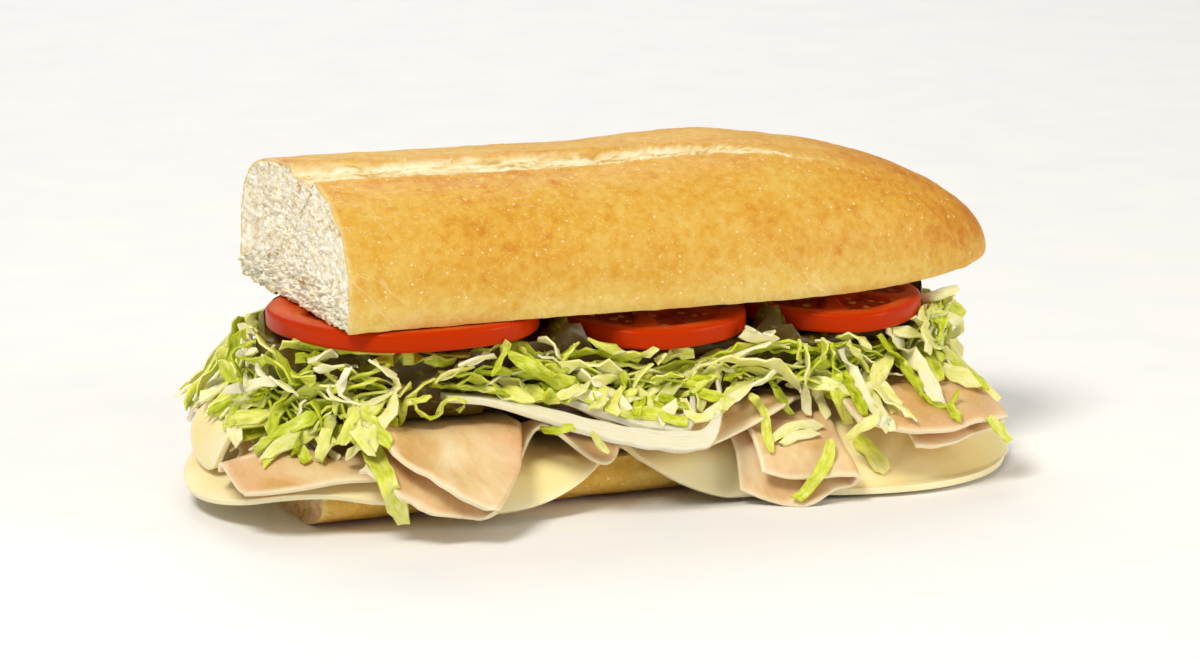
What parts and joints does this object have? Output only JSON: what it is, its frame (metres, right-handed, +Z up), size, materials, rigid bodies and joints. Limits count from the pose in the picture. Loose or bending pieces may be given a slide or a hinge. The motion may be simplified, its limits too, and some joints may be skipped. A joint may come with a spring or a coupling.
{
  "type": "submarine sandwich",
  "caption": "Half a submarine sandwich on a long crusty roll, cut square at one end, with sliced provolone, folded turkey, onion, shredded lettuce and tomato.",
  "frame": {"origin": "centre of the flat base of the roll's lower half, where it rests", "axes": "+X along the roll from the cut end to the round heel, -Y the front that the picture shows, +Z up"},
  "size_m": [0.2123, 0.1193, 0.0815],
  "materials": {
    "crust": "golden baked crust, satin",
    "provolone": "smooth pale cheese, satin",
    "turkey": "moist sliced meat, satin",
    "onion": "wet translucent onion, semi-gloss",
    "tomato": "wet tomato skin, gloss",
    "lettuce": "crisp pale green leaf, satin"
  },
  "bodies": {
    "root": {"bread_bottom": "crust", "bread_top": "crust", "cheese_1": "provolone", "cheese_2": "provolone", "cheese_3": "provolone", "cheese_4": "provolone", "cheese_5": "provolone", "turkey_1": "turkey", "turkey_2": "turkey", "turkey_3": "turkey", "turkey_4": "turkey", "turkey_5": "turkey", "turkey_6": "turkey", "onion_1": "onion", "onion_2": "onion", "tomato_1": "tomato", "tomato_2": "tomato", "tomato_3": "tomato", "tomato_4": "tomato", "tomato_5": "tomato", "lettuce": "lettuce"}
  },
  "joints": []
}
